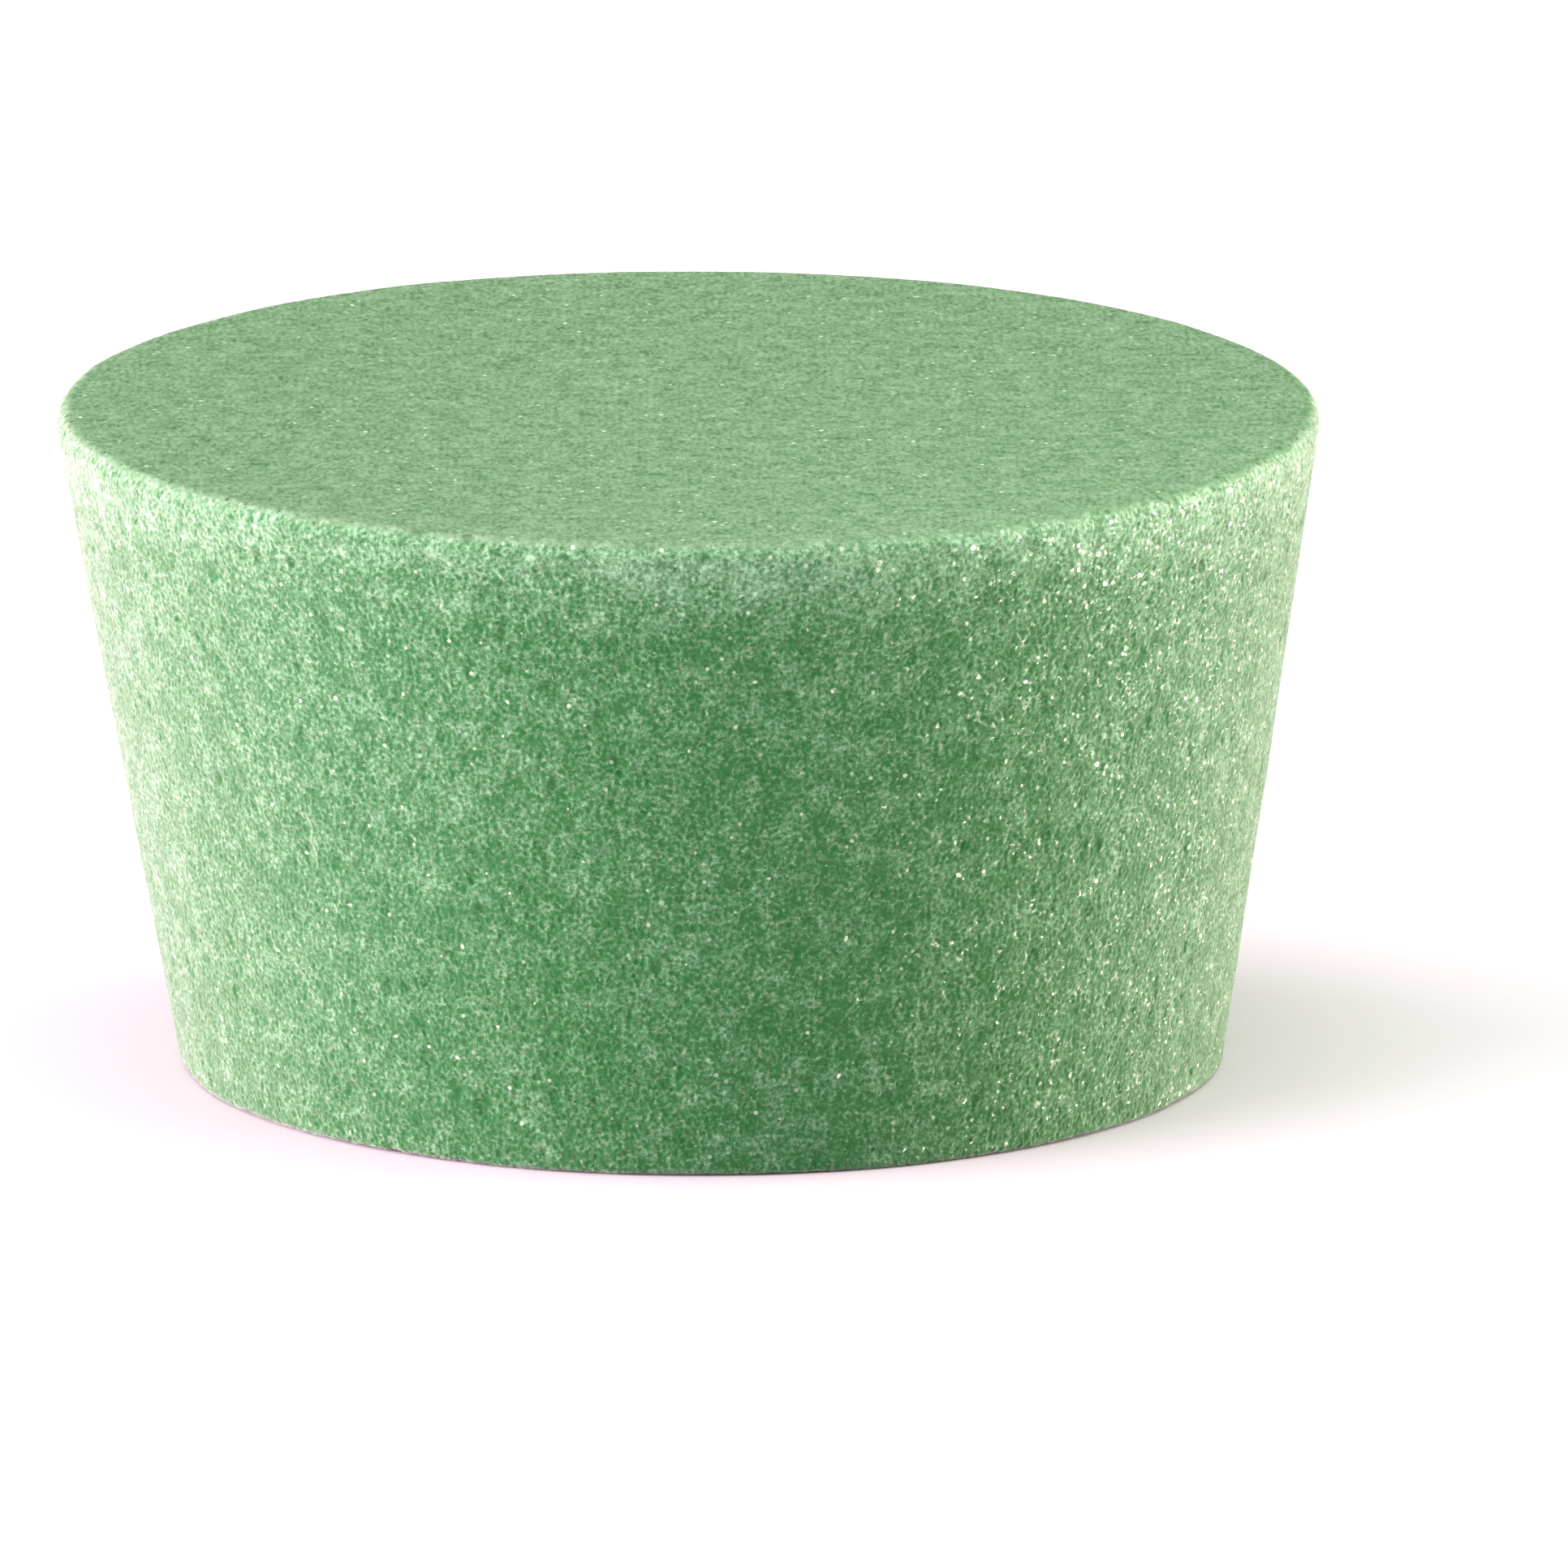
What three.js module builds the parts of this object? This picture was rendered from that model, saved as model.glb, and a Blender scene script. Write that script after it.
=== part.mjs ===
// A round, tapered block of rigid floral foam: one solid plug cut from a single billet, wider at
// the top than at the base, so that it wedges into a pot or stands on its own.
//
// Millimetres, +Z up. The origin is the centre of the base, on the surface the block stands on.

import * as THREE from "three";

// Driving dimensions
const MM_PER_INCH = 25.4;
const HEIGHT = 1.9 * MM_PER_INCH;
const TOP_RADIUS = (3.6 * MM_PER_INCH) / 2;
const BASE_TO_TOP_RATIO = 0.827;
const TOP_EDGE_RADIUS = 1.2; // rim round the top face, softened by cutting and handling
const BASE_EDGE_RADIUS = 0.6; // edge round the base, still crisp
const ROUND_SEGMENTS = 120; // a multiple of 4, so that the widest points lie on the axes
const EDGE_STEPS = 3; // each softened edge is an arc of twice this many steps

const FOAM_COLOUR = 0x86b482;
const FOAM_ROUGHNESS = 0.85;

// Half of the block's outline: from the centre of the base out to its edge, up the sloping side to
// the widest point, over the rim and back to the centre of the top. The arc at the base runs
// smoothly into the side, which is straight.
function blockOutline() {
  const baseRadius = BASE_TO_TOP_RATIO * TOP_RADIUS;
  const widestZ = HEIGHT - TOP_EDGE_RADIUS;
  const flare = Math.atan2(TOP_RADIUS - baseRadius, widestZ);
  const baseEdgeInset = (BASE_EDGE_RADIUS * (1 - Math.sin(flare))) / Math.cos(flare);
  const baseEdgeX = baseRadius - baseEdgeInset;

  const outline = new THREE.Path();
  outline.moveTo(0, 0);
  outline.lineTo(baseEdgeX, 0);
  outline.absarc(baseEdgeX, BASE_EDGE_RADIUS, BASE_EDGE_RADIUS, -Math.PI / 2, -flare, false);
  outline.absarc(TOP_RADIUS - TOP_EDGE_RADIUS, widestZ, TOP_EDGE_RADIUS, 0, Math.PI / 2, false);
  outline.lineTo(0, HEIGHT);
  return outline.getPoints(EDGE_STEPS);
}

function foamBlock() {
  const geometry = new THREE.LatheGeometry(blockOutline(), ROUND_SEGMENTS);
  geometry.rotateX(Math.PI / 2); // a lathe turns its outline about Y, and the block stands along Z
  const foam = new THREE.MeshStandardMaterial({
    color: FOAM_COLOUR,
    roughness: FOAM_ROUGHNESS,
    metalness: 0,
  });
  const mesh = new THREE.Mesh(geometry, foam);
  mesh.name = "foam_block";
  return mesh;
}

const part = new THREE.Group();
part.add(foamBlock());

export default part;
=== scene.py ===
"""A round, tapered block of green floral foam, standing on a pale studio floor.

The block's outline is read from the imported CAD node. Its skin is rebuilt round that outline as one
dense closed mesh of cut foam: opened cells, torn pits, softened edges and the marks of the cut.
"""

import math

import bpy
import numpy as np
from mathutils import Matrix, Vector


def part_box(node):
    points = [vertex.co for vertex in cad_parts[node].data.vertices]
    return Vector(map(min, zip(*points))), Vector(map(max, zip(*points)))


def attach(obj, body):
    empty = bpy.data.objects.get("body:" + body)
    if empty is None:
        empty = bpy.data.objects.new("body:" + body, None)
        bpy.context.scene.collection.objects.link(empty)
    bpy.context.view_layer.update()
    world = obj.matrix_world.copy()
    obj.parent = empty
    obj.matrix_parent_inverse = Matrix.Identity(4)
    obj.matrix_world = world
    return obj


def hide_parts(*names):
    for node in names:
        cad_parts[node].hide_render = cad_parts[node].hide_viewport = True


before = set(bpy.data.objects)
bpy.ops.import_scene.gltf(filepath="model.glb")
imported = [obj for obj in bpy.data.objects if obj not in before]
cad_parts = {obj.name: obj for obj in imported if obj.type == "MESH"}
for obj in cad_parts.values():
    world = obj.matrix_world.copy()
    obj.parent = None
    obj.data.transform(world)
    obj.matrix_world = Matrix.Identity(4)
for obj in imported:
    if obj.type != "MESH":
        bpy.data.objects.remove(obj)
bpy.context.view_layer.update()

MM = 0.001
NODE = "foam_block"

# The frame
block_low, block_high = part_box(NODE)
HEIGHT = block_high.z - block_low.z
WIDTH = block_high.x - block_low.x

# The skin's mesh
DISC_CELLS = 560  # cells along each side of the square grid that is pressed into a flat face
COLUMNS = 4 * DISC_CELLS  # round the side, so that both faces meet it vertex to vertex
RING_STEP = 0.13 * MM
LEAN = 1.0 * MM  # how far the base sits to +X of the top: the cut isn't quite square
UV_MARGIN = 0.004

# The foam's cells, in millimetres
RISE = np.array([1, 1, 1.2])  # cells are taller than wide, because foam rises as it sets
CELL_PITCH = 0.5 * RISE
FINE_PITCH = 0.3 * RISE
TEAR_PITCH = 1.5 * RISE
TEAR_SHARE = 0.25  # of the largest cells
CELL_DEPTH = 0.08
FINE_DEPTH = 0.04
TEAR_DEPTH = 0.12
SHALLOWEST = 0.4  # the shallowest cell's share of CELL_DEPTH
WANDER_PITCH = 0.7  # the cells' walls wander by up to half of WANDER
WANDER = 0.45
SWELL_PITCH = 7.0  # the cut's own unevenness
SWELL_DEPTH = 0.12

# Where a pit starts and where it is deepest, in pitches from its cell's wall
CELL_SLOPE = (0.02, 0.32)
FINE_SLOPE = (0, 0.35)
TEAR_SLOPE = (0.05, 0.6)

# The pale walls between the cells
WALL_WIDTH = 0.26  # in pitches
WALL_FADE_PITCH = 0.6  # in millimetres, from where a wall shows to where it doesn't
FINE_WALL_FADE_PITCH = 0.5
FINE_WALL_SHARE = 0.5
TORN_AWAY = 0.7  # of a wall, where the foam is torn

# The top's smoother cut, which starts along a ragged line on the rounded edge
TOP_SHARE = 0.2  # of the cells' depths
TOP_FACING = (0.6, 0.95)  # how far up the skin faces where it starts, and where it is complete
RAGGED = 0.3
RAGGED_PITCH = 0.8

# The band round the rim, partly worn foam and partly a painted glow of light caught where the rim
# rounds over, in millimetres
RIM_SPAN = 8.0
RIM_PITCH = 1.6
RIM_WANDER = 1.0
# The band is palest at this turn, towards the front, where the painted glow is strongest
MOST_WORN_AND_LIT_TURN = math.radians(25)  # from the front, -Y, towards +X
WEAR_AND_GLOW_FADE = 1.2  # how fast it fades round the rim
LEAST_WEAR_AND_GLOW = 0.5

# The camera: a long lens from far off, which flattens the view
LENS_MM = 1000.0
SENSOR_MM = 36.0
ELEVATION = math.radians(13.2)
BLOCK_SHARE = 0.806  # of the picture's width
BLOCK_LEFT = 0.0613  # how far the block's middle is left of the picture's, in picture widths
BLOCK_UP = 0.0349


# ---------------------------------------------------------------- repeatable noise


def random_columns(cells, salt, count):
    """Repeatable random numbers from 0 to 1, count of them for each row of whole coordinates."""
    x, y, z = cells.astype(np.int32).view(np.uint32).T
    state = x * np.uint32(0x9E3779B1) ^ y * np.uint32(0x85EBCA77) ^ z * np.uint32(0xC2B2AE3D)
    state ^= np.uint32(salt * 0x27D4EB2F & 0xFFFFFFFF)
    columns = []
    for _ in range(count):
        state = (state ^ state >> np.uint32(15)) * np.uint32(0x2C1B3C6D)
        state = (state ^ state >> np.uint32(12)) * np.uint32(0x297A2D39)
        state ^= state >> np.uint32(15)
        columns.append(state.astype(np.float32) / np.float32(2**32))
    return columns


def cells_at(points, pitch, salt, jitter=0.9):
    """For each point, in a packing of random cells: how far inside its cell it is, from 0 at the
    wall, and a random number that its cell keeps."""
    scaled = (points / pitch).astype(np.float32)
    home = np.floor(scaled)
    within = scaled - home
    nearest = np.full(len(points), np.inf, np.float32)
    second = nearest.copy()
    owner = np.zeros(len(points), np.float32)
    for step in np.ndindex(3, 3, 3):
        step = np.array(step, np.float32) - 1
        *offset, keepsake = random_columns(home + step, salt, 4)
        centre = step + 0.5 + jitter * (np.column_stack(offset) - 0.5)
        distance = np.sqrt(((centre - within) ** 2).sum(axis=1))
        closer = distance < nearest
        second = np.where(closer, nearest, np.minimum(second, distance))
        owner = np.where(closer, keepsake, owner)
        nearest = np.where(closer, distance, nearest)
    return second - nearest, owner


def swells(points, pitch, salt):
    """Smooth noise from 0 to 1 whose bumps are about pitch apart."""
    scaled = points / pitch
    home = np.floor(scaled)
    part = scaled - home
    ease = part * part * (3 - 2 * part)
    total = np.zeros(len(points))
    for corner in np.ndindex(2, 2, 2):
        weight = np.prod(np.where(corner, ease, 1 - ease), axis=1)
        total += weight * random_columns(home + np.array(corner), salt, 1)[0]
    return total


def smooth_step(value, low, high):
    share = np.clip((value - low) / (high - low), 0, 1)
    return share * share * (3 - 2 * share)


# ---------------------------------------------------------------- the block's shape


def cad_outline():
    """The CAD block's outline as rows of radius and height, from the base's centre to the top's."""
    points = np.array([vertex.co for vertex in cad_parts[NODE].data.vertices])
    outline = np.column_stack([np.hypot(points[:, 0], points[:, 1]), points[:, 2]])
    outline = np.unique(outline.round(6), axis=0)
    radius, height = outline.T
    outward = np.where(height == height.max(), -radius, radius)
    return outline[np.lexsort((outward, height))]


def belt_rings(outline):
    """The rings between the two flat faces, evenly spaced, and their outward normals."""
    belt = outline[1:-1]
    along = np.concatenate([[0], np.cumsum(np.linalg.norm(np.diff(belt, axis=0), axis=1))])
    steps = np.linspace(0, along[-1], round(along[-1] / RING_STEP) + 1)
    rings = np.column_stack([np.interp(steps, along, belt[:, axis]) for axis in range(2)])
    slope = np.gradient(rings, axis=0)
    normals = np.column_stack([slope[:, 1], -slope[:, 0]])
    return rings, normals / np.linalg.norm(normals, axis=1, keepdims=True)


def square_in_disc():
    """A square grid of points pressed evenly into the unit disc, its edge on the circle."""
    line = np.linspace(-1, 1, DISC_CELLS + 1)
    across, up = np.meshgrid(line, line)
    sideways = np.abs(across) >= np.abs(up)
    radius = np.where(sideways, across, up)
    safe = np.where(radius == 0, 1, radius)
    lean = np.where(sideways, up, across) / safe * math.pi / 4
    turn = np.where(sideways, lean, math.pi / 2 - lean)
    return np.stack([radius * np.cos(turn), radius * np.sin(turn)], axis=-1)


def quads(grid):
    """The four corners of each face of a grid, which holds vertex numbers or places."""
    corners = np.stack([grid[:-1, :-1], grid[:-1, 1:], grid[1:, 1:], grid[1:, :-1]], axis=2)
    return corners.reshape(-1, *corners.shape[2:])


def block_surface():
    """Vertices, outward normals, faces and face-corner UVs of the smooth block."""
    outline = cad_outline()
    rings, ring_normals = belt_rings(outline)
    turn = np.arange(COLUMNS) * math.tau / COLUMNS
    round_x, round_y = np.cos(turn), np.sin(turn)

    def spun(rows):
        radial = rows[:, :1]
        upright = np.broadcast_to(rows[:, 1:], (len(rows), COLUMNS))
        return np.stack([radial * round_x, radial * round_y, upright], axis=-1).reshape(-1, 3)

    vertices, normals = [spun(rings)], [spun(ring_normals)]
    belt = np.arange(len(rings) * COLUMNS).reshape(len(rings), COLUMNS)
    belt = np.hstack([belt, belt[:, :1]])
    faces = [quads(belt)]
    uvs = [belt_uvs(len(rings))]

    disc = square_in_disc()
    edge = np.ones(disc.shape[:2], bool)
    edge[1:-1, 1:-1] = False
    column = np.round(np.arctan2(disc[..., 1], disc[..., 0]) / math.tau * COLUMNS)
    column = column.astype(int) % COLUMNS
    count = len(rings) * COLUMNS
    for ring, facing, uv_corner in ((0, -1, (0.5, 0.5)), (len(rings) - 1, 1, (0, 0.5))):
        radius, height = rings[ring]
        numbers = np.empty(edge.shape, int)
        numbers[edge] = ring * COLUMNS + column[edge]
        numbers[~edge] = count + np.arange((~edge).sum())
        count += (~edge).sum()
        inner = disc[~edge] * radius
        vertices.append(np.column_stack([inner, np.full(len(inner), height)]))
        normals.append(np.tile([0, 0, facing], (len(inner), 1)))
        face = quads(numbers)
        uv = disc_uvs(disc, uv_corner)
        faces.append(face if facing > 0 else face[:, ::-1])
        uvs.append(uv if facing > 0 else uv[:, ::-1])
    return tuple(np.concatenate(part) for part in (vertices, normals, faces, uvs))


def belt_uvs(ring_count):
    """The side as four strips, two and two, over the lower half of the UV square."""
    row, column = np.mgrid[0 : ring_count - 1, 0:COLUMNS]
    strip = column // DISC_CELLS
    uv = []
    for up, right in ((0, 0), (0, 1), (1, 1), (1, 0)):
        across = (column - strip * DISC_CELLS + right) / DISC_CELLS
        along = (row + up) / (ring_count - 1)
        u = 0.5 * (strip % 2) + UV_MARGIN + across * (0.5 - 2 * UV_MARGIN)
        v = 0.25 * (strip // 2) + UV_MARGIN + along * (0.25 - 2 * UV_MARGIN)
        uv.append(np.stack([u, v], axis=-1))
    return np.stack(uv, axis=-2).reshape(-1, 4, 2)


def disc_uvs(disc, corner):
    """A flat face in one quarter of the UV square's upper half."""
    return quads(np.array(corner) + 0.25 + disc * (0.25 - UV_MARGIN))


def rim_wear_and_glow(points):
    """How pale the rim's band is, from 1 to 0: partly wear, partly a painted glow of light caught by
    the rounded rim, palest towards the front.
    """
    radius = np.hypot(points[:, 0], points[:, 1])
    from_rim = np.hypot(HEIGHT / MM - points[:, 2], WIDTH / MM / 2 - radius)
    from_rim += RIM_WANDER * (2 * swells(points, RIM_PITCH, salt=51) - 1)
    turn = np.arctan2(points[:, 0], -points[:, 1]) - MOST_WORN_AND_LIT_TURN
    round_rim = np.clip(np.cos(WEAR_AND_GLOW_FADE * turn), LEAST_WEAR_AND_GLOW, 1)
    return round_rim * (1 - smooth_step(from_rim, 0, RIM_SPAN))


def opened_cells(points):
    """How deep the opened cells and torn pits are, and how much cell wall shows at each point."""
    wander = [swells(points, WANDER_PITCH, salt) - 0.5 for salt in (61, 62, 63)]
    points = points + WANDER * np.column_stack(wander)
    inside, cell = cells_at(points, CELL_PITCH, salt=11)
    fine_inside, fine_cell = cells_at(points, FINE_PITCH, salt=17)
    torn_inside, torn_cell = cells_at(points, TEAR_PITCH, salt=29)
    pore = smooth_step(inside, *CELL_SLOPE) * (SHALLOWEST + (1 - SHALLOWEST) * cell)
    fine = smooth_step(fine_inside, *FINE_SLOPE) * fine_cell
    torn = smooth_step(torn_inside, *TEAR_SLOPE) * (torn_cell < TEAR_SHARE)
    depth = CELL_DEPTH * pore + FINE_DEPTH * fine + TEAR_DEPTH * torn
    wall = 1 - smooth_step(inside, 0, WALL_WIDTH)
    wall *= swells(points, WALL_FADE_PITCH, salt=71)
    fine_wall = 1 - smooth_step(fine_inside, 0, WALL_WIDTH)
    fine_wall *= swells(points, FINE_WALL_FADE_PITCH, salt=72)
    wall += FINE_WALL_SHARE * fine_wall
    return depth, wall * (1 - TORN_AWAY * torn)


def cut_skin(points, normals):
    """How deep the cut surface lies under the smooth block, and what the foam is like there."""
    ragged = RAGGED * (swells(points, RAGGED_PITCH, salt=52) - 0.5)
    on_top = smooth_step(normals[:, 2] + ragged, *TOP_FACING)
    cells, wall = opened_cells(points)
    depth = cells * (1 + (TOP_SHARE - 1) * on_top)
    depth += SWELL_DEPTH * swells(points, SWELL_PITCH, salt=41)
    # Height drives painted shade: the side is darker towards the base
    height = points[:, 2] / (HEIGHT / MM)
    # The rim's band is partly wear, partly a painted glow of light caught by the rounded rim
    return depth, {"wall": wall, "on_top": on_top, "wear_and_glow": rim_wear_and_glow(points), "height": height}


def build_block():
    vertices, normals, faces, uvs = block_surface()
    depth, foam = cut_skin(vertices / MM, normals)
    vertices = vertices - normals * depth[:, None] * MM
    vertices[:, 0] += LEAN * (1 - vertices[:, 2] / HEIGHT)

    mesh = bpy.data.meshes.new("green_foam")
    mesh.vertices.add(len(vertices))
    mesh.vertices.foreach_set("co", vertices.astype(np.float32).ravel())
    mesh.loops.add(faces.size)
    mesh.loops.foreach_set("vertex_index", faces.astype(np.int32).ravel())
    mesh.polygons.add(len(faces))
    mesh.polygons.foreach_set("loop_start", np.arange(0, faces.size, 4, dtype=np.int32))
    mesh.update(calc_edges=True)
    mesh.shade_smooth()
    layer = mesh.uv_layers.new(name="OFBake")
    layer.data.foreach_set("uv", uvs.astype(np.float32).ravel())
    for name, values in foam.items():
        attribute = mesh.attributes.new(name, "FLOAT", "POINT")
        attribute.data.foreach_set("value", values.astype(np.float32))
    block = bpy.data.objects.new("green_foam_block", mesh)
    bpy.context.scene.collection.objects.link(block)
    return block


# ---------------------------------------------------------------- the foam's material


def add_node(tree, kind, inputs=(), **settings):
    """A new node with its settings, and its inputs as values or as the sockets they come from."""
    node = tree.nodes.new(kind)
    for name, value in settings.items():
        setattr(node, name, value)
    for name, value in dict(inputs).items():
        if isinstance(value, bpy.types.NodeSocket):
            tree.links.new(value, node.inputs[name])
        else:
            node.inputs[name].default_value = value
    return node


DEEP_CELL = (0.002, 0.098, 0.012, 1)
PALE_WALL = (0.19, 0.43, 0.215, 1)
TOP_DEEP = (0.054, 0.146, 0.053, 1)
TOP_PALE = (0.196, 0.352, 0.193, 1)
# The pale crumbs' colour: partly dust, partly painted glints
DUST_AND_GLINT = (0.62, 0.80, 0.57, 1)

# The patterns' scales, in repeats to a metre
THREADS = 2300
THREAD_BREAKS = 1500
WISPS = 3000
CLOUDS = 480
STROKES = 2800
PATCHES = 500
MEMBRANES = 2100
GRAIN = 4500

# How pale the cut side is, from 0 to 1, and how far each thing pales it
LEAST_PALENESS = -0.65
WISP_PALES = 1.5
CLOUD_PALES = 0.75
THREAD_PALES = 0.16
WALL_PALES = 0.20
# The rim's band: partly wear, partly painted glow
WEAR_AND_GLOW_PALES = 0.32
# Painted shade: the side is paler towards the top and darker towards the base, where less light falls
PAINTED_SHADE_BY_HEIGHT = 0.07
THREAD_WIDTH = 0.12  # of a cell
THREAD_UNBROKEN = (0.42, 0.62)  # the noise where a thread starts to show, and where it is whole
CONTRAST = 1.6
BRIGHTNESS = 1.25

# The top's cut
STROKE_STRETCH = (1, 0.4, 1)
PATCH_PALES_TOP = 0.5
# The top's front rim is paler: partly wear, partly painted glow
WEAR_AND_GLOW_PALES_TOP = 0.04
TOP_RANGE = (0.5, 1.0)  # what the top's patterns add up to where it is deepest, and palest

# Membranes across the cells: glossy flecks that each face their own way, and a few pale crumbs,
# painted into the colour partly as dust and partly as small soft glints
FLECK_SIZE = (0.22, 0.49)
FLECK_SHARE = 0.9
FLECK_PALENESS = (0.04, 0.24)  # flecks hang on pale foam: none below, and all above
FLECK_TILT = 0.95
FLECK_LIFT = 0.4  # added to the upward part of each fleck's random tilt
FLECK_SHINE = (0.25, 0.80)
GLINT_CRUMB_SHARE = 0.07
GLINT_CRUMB_SIZE = 0.7  # of a fleck's
GLINT_CRUMB_STRENGTH = (0.5, 0.8)  # how strongly the pale crumbs, partly painted glints, show on the side, and on the top

# The finish: each pair is for the first thing named, and for the second
ROUGHNESS = (0.5, 0.32)  # foam, fleck
GLOSS = (0.02, 0.17)  # deep foam, pale foam
TOP_GLOSS = 0.3  # of the side's
SHEEN_FACING = (0.29, 0.74)  # seen from the front, seen edge on
SHEEN_PALENESS = (0.5, 1.2)  # deep foam, pale foam
GRAIN_STRENGTH = 0.35
GRAIN_HEIGHT = 0.1 * MM


def stored(tree, name):
    """The value that each vertex of the block keeps under this name."""
    return add_node(tree, "ShaderNodeAttribute", attribute_name=name).outputs["Fac"]


def maths(tree, operation, *values, clamp=False):
    inputs = dict(enumerate(values))
    return add_node(tree, "ShaderNodeMath", inputs, operation=operation, use_clamp=clamp).outputs[0]


def between(tree, share, low, high):
    """The number this share of the way from low to high."""
    return maths(tree, "MULTIPLY_ADD", share, high - low, low)


def product(tree, *values):
    total = values[0]
    for value in values[1:]:
        total = maths(tree, "MULTIPLY", total, value)
    return total


def vector_maths(tree, operation, *values):
    inputs = dict(enumerate(values))
    return add_node(tree, "ShaderNodeVectorMath", inputs, operation=operation).outputs[0]


def blend(tree, share, low, high):
    return add_node(tree, "ShaderNodeMix", {0: share, 6: low, 7: high}, data_type="RGBA").outputs[2]


def noise(tree, place, scale, detail):
    inputs = {"Vector": place, "Scale": scale, "Detail": detail, "Roughness": 0.65}
    return add_node(tree, "ShaderNodeTexNoise", inputs).outputs["Fac"]


def packing(tree, place, scale, feature):
    """Blender's random packing of cells."""
    inputs = {"Vector": place, "Scale": scale}
    return add_node(tree, "ShaderNodeTexVoronoi", inputs, feature=feature).outputs


def ramp(tree, value, low, high):
    """0 below low, 1 above high, and a straight slope between."""
    inputs = {"Value": value, "From Min": low, "From Max": high}
    return add_node(tree, "ShaderNodeMapRange", inputs).outputs[0]


def cut_paleness(tree, place):
    """How pale the cut side is: thin threads of cell wall over a cloudy deep green, paler in a band
    round the rim that is partly wear and partly painted glow, and darker towards the base as painted
    shade.
    """
    edge = packing(tree, place, THREADS, "DISTANCE_TO_EDGE")["Distance"]
    unbroken = ramp(tree, noise(tree, place, THREAD_BREAKS, 1), *THREAD_UNBROKEN)
    thread = product(tree, ramp(tree, edge, THREAD_WIDTH, 0.0), unbroken)
    total = maths(tree, "MULTIPLY_ADD", noise(tree, place, WISPS, 3), WISP_PALES, LEAST_PALENESS)
    layers = (
        (maths(tree, "SUBTRACT", noise(tree, place, CLOUDS, 3), 0.5), CLOUD_PALES),
        (thread, THREAD_PALES),
        (stored(tree, "wall"), WALL_PALES),
        # The rim's band pales the foam partly as wear and partly as painted glow
        (stored(tree, "wear_and_glow"), WEAR_AND_GLOW_PALES),
        # painted shade: darker towards the base, paler towards the top
        (stored(tree, "height"), PAINTED_SHADE_BY_HEIGHT),
    )
    for layer, share in layers:
        total = maths(tree, "MULTIPLY_ADD", layer, share, total)
    sharpened = maths(tree, "POWER", total, CONTRAST)
    return maths(tree, "MULTIPLY", sharpened, BRIGHTNESS, clamp=True)


def top_colour(tree, place):
    """The smoother top, marked by short strokes of the cut that run along Y."""
    along_cut = add_node(tree, "ShaderNodeMapping", {"Vector": place, "Scale": STROKE_STRETCH})
    satin = noise(tree, along_cut.outputs[0], STROKES, 3)
    patches = noise(tree, place, PATCHES, 2)
    satin = maths(tree, "MULTIPLY_ADD", patches, PATCH_PALES_TOP, satin)
    # Paler top rim: partly wear, partly painted glow
    satin = maths(tree, "MULTIPLY_ADD", stored(tree, "wear_and_glow"), WEAR_AND_GLOW_PALES_TOP, satin)
    return blend(tree, ramp(tree, satin, *TOP_RANGE), TOP_DEEP, TOP_PALE)


def flecks_and_glint_crumbs(tree, place, paleness, on_top):
    """Where the flecks are, how brightly each shines, which way it faces, and where the pale crumbs
    are, painted in partly as dust and partly as small soft glints.
    """
    membrane = packing(tree, place, MEMBRANES, "F1")
    lots = add_node(tree, "ShaderNodeTexWhiteNoise", {"Vector": membrane["Position"]}).outputs
    draws = add_node(tree, "ShaderNodeSeparateColor", {0: lots["Color"]}).outputs
    size = between(tree, draws[0], *FLECK_SIZE)
    on_pale = ramp(tree, paleness, *FLECK_PALENESS)
    present = maths(tree, "GREATER_THAN", lots["Value"], 1 - FLECK_SHARE)
    near = maths(tree, "LESS_THAN", membrane["Distance"], size)
    fleck = product(tree, present, near, on_pale)
    shine = product(tree, between(tree, draws[2], *FLECK_SHINE), fleck)

    upwards = (0.5, 0.5, 0.5 - FLECK_LIFT)
    tilt = vector_maths(tree, "SUBTRACT", membrane["Color"], upwards)
    outward = add_node(tree, "ShaderNodeNewGeometry").outputs["Normal"]
    facet = vector_maths(tree, "MULTIPLY_ADD", tilt, [FLECK_TILT] * 3, outward)
    facet = vector_maths(tree, "NORMALIZE", facet)

    # Pale crumbs painted into the colour, partly dust and partly small soft glints
    close = maths(tree, "LESS_THAN", membrane["Distance"], product(tree, size, GLINT_CRUMB_SIZE))
    glint_crumb_picked = maths(tree, "GREATER_THAN", lots["Value"], 1 - GLINT_CRUMB_SHARE)
    glint_crumb = product(tree, close, glint_crumb_picked, draws[1], draws[1], between(tree, on_top, *GLINT_CRUMB_STRENGTH))
    return fleck, shine, facet, glint_crumb


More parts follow.
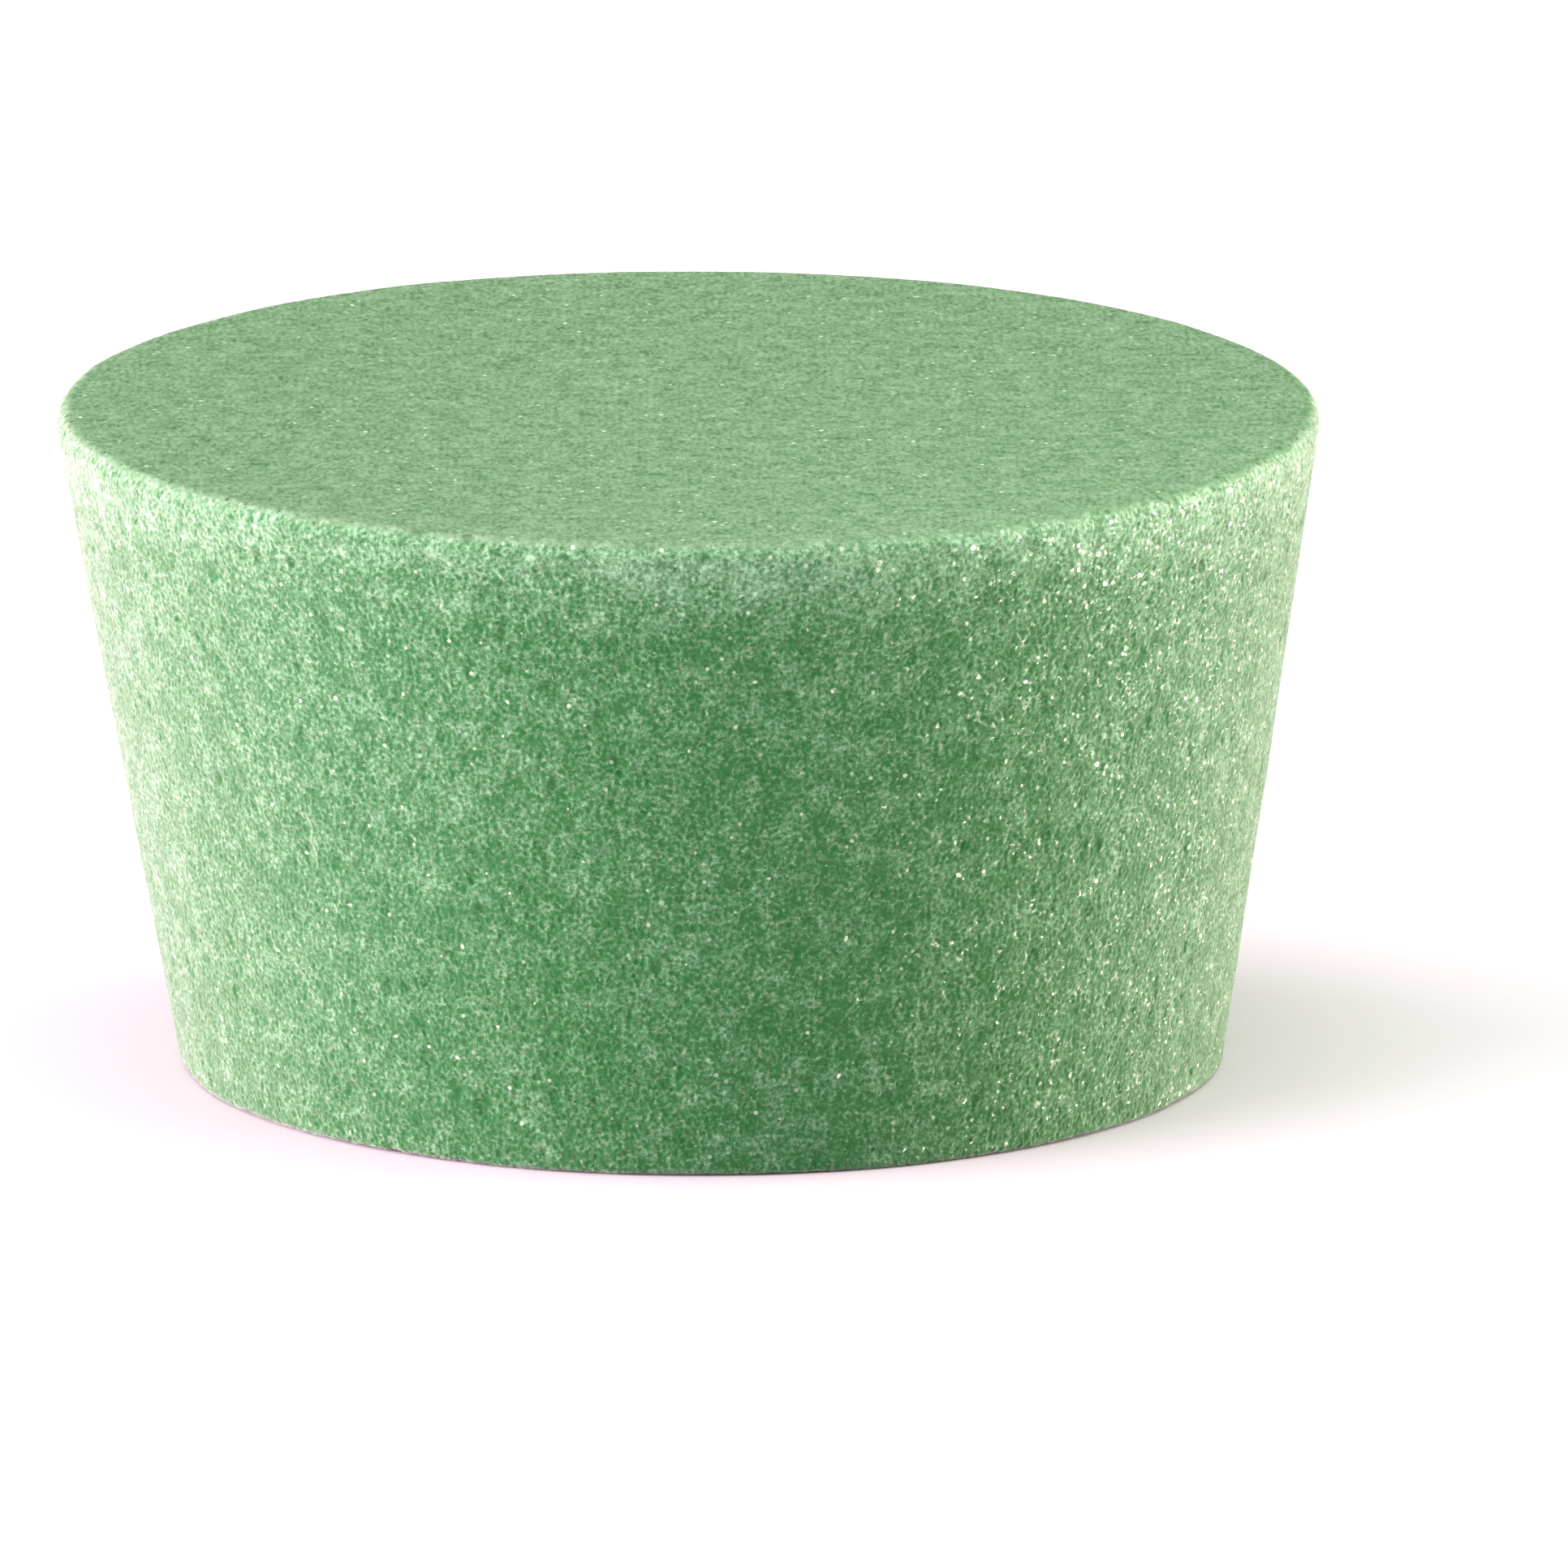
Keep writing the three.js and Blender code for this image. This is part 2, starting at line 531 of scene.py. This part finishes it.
def foam_material():
    material = bpy.data.materials.new("green_foam")
    material.use_nodes = True
    tree = material.node_tree
    tree.nodes.clear()
    place = add_node(tree, "ShaderNodeTexCoord").outputs["Object"]
    on_top = stored(tree, "on_top")
    paleness = cut_paleness(tree, place)
    fleck, shine, facet, glint_crumb = flecks_and_glint_crumbs(tree, place, paleness, on_top)

    side_colour = blend(tree, paleness, DEEP_CELL, PALE_WALL)
    colour = blend(tree, on_top, side_colour, top_colour(tree, place))
    # Pale crumbs: partly dust, partly painted glints
    colour = blend(tree, glint_crumb, colour, DUST_AND_GLINT)
    grain = {
        "Height": noise(tree, place, GRAIN, 2),
        "Strength": GRAIN_STRENGTH,
        "Distance": GRAIN_HEIGHT,
    }
    bump = add_node(tree, "ShaderNodeBump", grain).outputs["Normal"]
    normal = add_node(tree, "ShaderNodeMix", {0: fleck, 4: bump, 5: facet}, data_type="VECTOR")
    gloss = maths(tree, "ADD", shine, between(tree, paleness, *GLOSS))
    facing = add_node(tree, "ShaderNodeLayerWeight", {"Blend": 0.5}).outputs["Facing"]
    sheen = product(
        tree,
        between(tree, on_top, 1.0, 0.0),
        between(tree, facing, *SHEEN_FACING),
        between(tree, paleness, *SHEEN_PALENESS),
    )
    surface = add_node(
        tree,
        "ShaderNodeBsdfPrincipled",
        {
            "Base Color": colour,
            "Roughness": between(tree, fleck, *ROUGHNESS),
            "Normal": normal.outputs[1],
            "IOR": 1.6,
            "Specular IOR Level": product(tree, gloss, between(tree, on_top, 1.0, TOP_GLOSS)),
            "Specular Tint": (1.0, 1.0, 0.8, 1),
            "Sheen Weight": sheen,
            "Sheen Roughness": 0.7,
            "Sheen Tint": (0.94, 1.0, 0.82, 1),
        },
    )
    output = add_node(tree, "ShaderNodeOutputMaterial")
    tree.links.new(surface.outputs[0], output.inputs["Surface"])
    return material


# ---------------------------------------------------------------- the studio


def plain_material(name, colour, roughness):
    material = bpy.data.materials.new(name)
    material.use_nodes = True
    shader = material.node_tree.nodes["Principled BSDF"]
    shader.inputs["Base Color"].default_value = (*colour, 1)
    shader.inputs["Roughness"].default_value = roughness
    return material


FLOOR_HALF = 8.0
FLOOR_GREY = 0.65


def add_floor():
    corners = [(-1, -1), (1, -1), (1, 1), (-1, 1)]
    mesh = bpy.data.meshes.new("floor")
    mesh.from_pydata([(x * FLOOR_HALF, y * FLOOR_HALF, 0) for x, y in corners], [], [(0, 1, 2, 3)])
    mesh.materials.append(plain_material("pale_floor", (FLOOR_GREY,) * 3, 0.9))
    floor = bpy.data.objects.new("floor", mesh)
    bpy.context.scene.collection.objects.link(floor)


def add_softbox(name, place, size, radiance, colour=(1, 1, 1), glints=True):
    """A lit rectangle of this width and height, in metres, turned towards the block. Without
    glints, the foam's gloss doesn't mirror it."""
    data = bpy.data.lights.new(name, "AREA")
    data.shape = "RECTANGLE"
    data.size, data.size_y = size
    data.energy = radiance * math.pi * size[0] * size[1]
    data.color = colour
    light = bpy.data.objects.new(name, data)
    middle = (block_low + block_high) / 2
    light.location = place
    light.rotation_mode = "QUATERNION"
    light.rotation_quaternion = (Vector(place) - middle).to_track_quat("Z", "Y")
    light.visible_camera = False
    light.visible_glossy = glints
    bpy.context.scene.collection.objects.link(light)


def add_overhead():
    data = bpy.data.lights.new("overhead", "SUN")
    data.energy = 3.0
    data.angle = math.radians(60)  # so wide that its shadows are soft
    light = bpy.data.objects.new("overhead", data)
    bpy.context.scene.collection.objects.link(light)


def add_studio():
    add_floor()
    world = bpy.data.worlds.new("studio")
    world.use_nodes = True
    background = world.node_tree.nodes["Background"]
    background.inputs["Color"].default_value = (1, 1, 1, 1)
    background.inputs["Strength"].default_value = 0.05
    bpy.context.scene.world = world
    add_overhead()
    add_softbox("front_left", (-0.09, -0.085, 0.095), (0.08, 0.03), radiance=2.5)
    add_softbox("front_right", (0.09, -0.085, 0.095), (0.08, 0.03), radiance=6.5)
    rose = (1.0, 0.67, 0.89)
    add_softbox("left", (-3.95, -0.45, 0.75), (7.0, 1.5), radiance=35, colour=rose, glints=False)
    add_softbox("right", (3.86, 0.9, 0.5), (3.0, 1.0), radiance=47, colour=(1.0, 0.77, 0.80))


def add_camera():
    """A long lens in front of the block, aimed so that the block sits left of and above the middle."""
    data = bpy.data.cameras.new("camera")
    data.lens = LENS_MM
    data.sensor_width = SENSOR_MM
    picture_width = WIDTH / BLOCK_SHARE
    distance = picture_width * LENS_MM / SENSOR_MM
    back = Vector((0, -math.cos(ELEVATION), math.sin(ELEVATION)))
    right = Vector((1, 0, 0))
    up = back.cross(right)
    middle = (block_low + block_high) / 2
    target = middle + right * BLOCK_LEFT * picture_width - up * BLOCK_UP * picture_width
    camera = bpy.data.objects.new("camera", data)
    camera.matrix_world = Matrix.Translation(target + back * distance) @ Matrix(
        (right, up, back)
    ).transposed().to_4x4()
    data.clip_end = 4 * distance
    bpy.context.scene.collection.objects.link(camera)
    bpy.context.scene.camera = camera


# ---------------------------------------------------------------- putting it together

block = build_block()
block.data.materials.append(foam_material())
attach(block, "root")
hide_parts(NODE)

add_studio()
add_camera()
bpy.context.scene.view_settings.view_transform = "Standard"
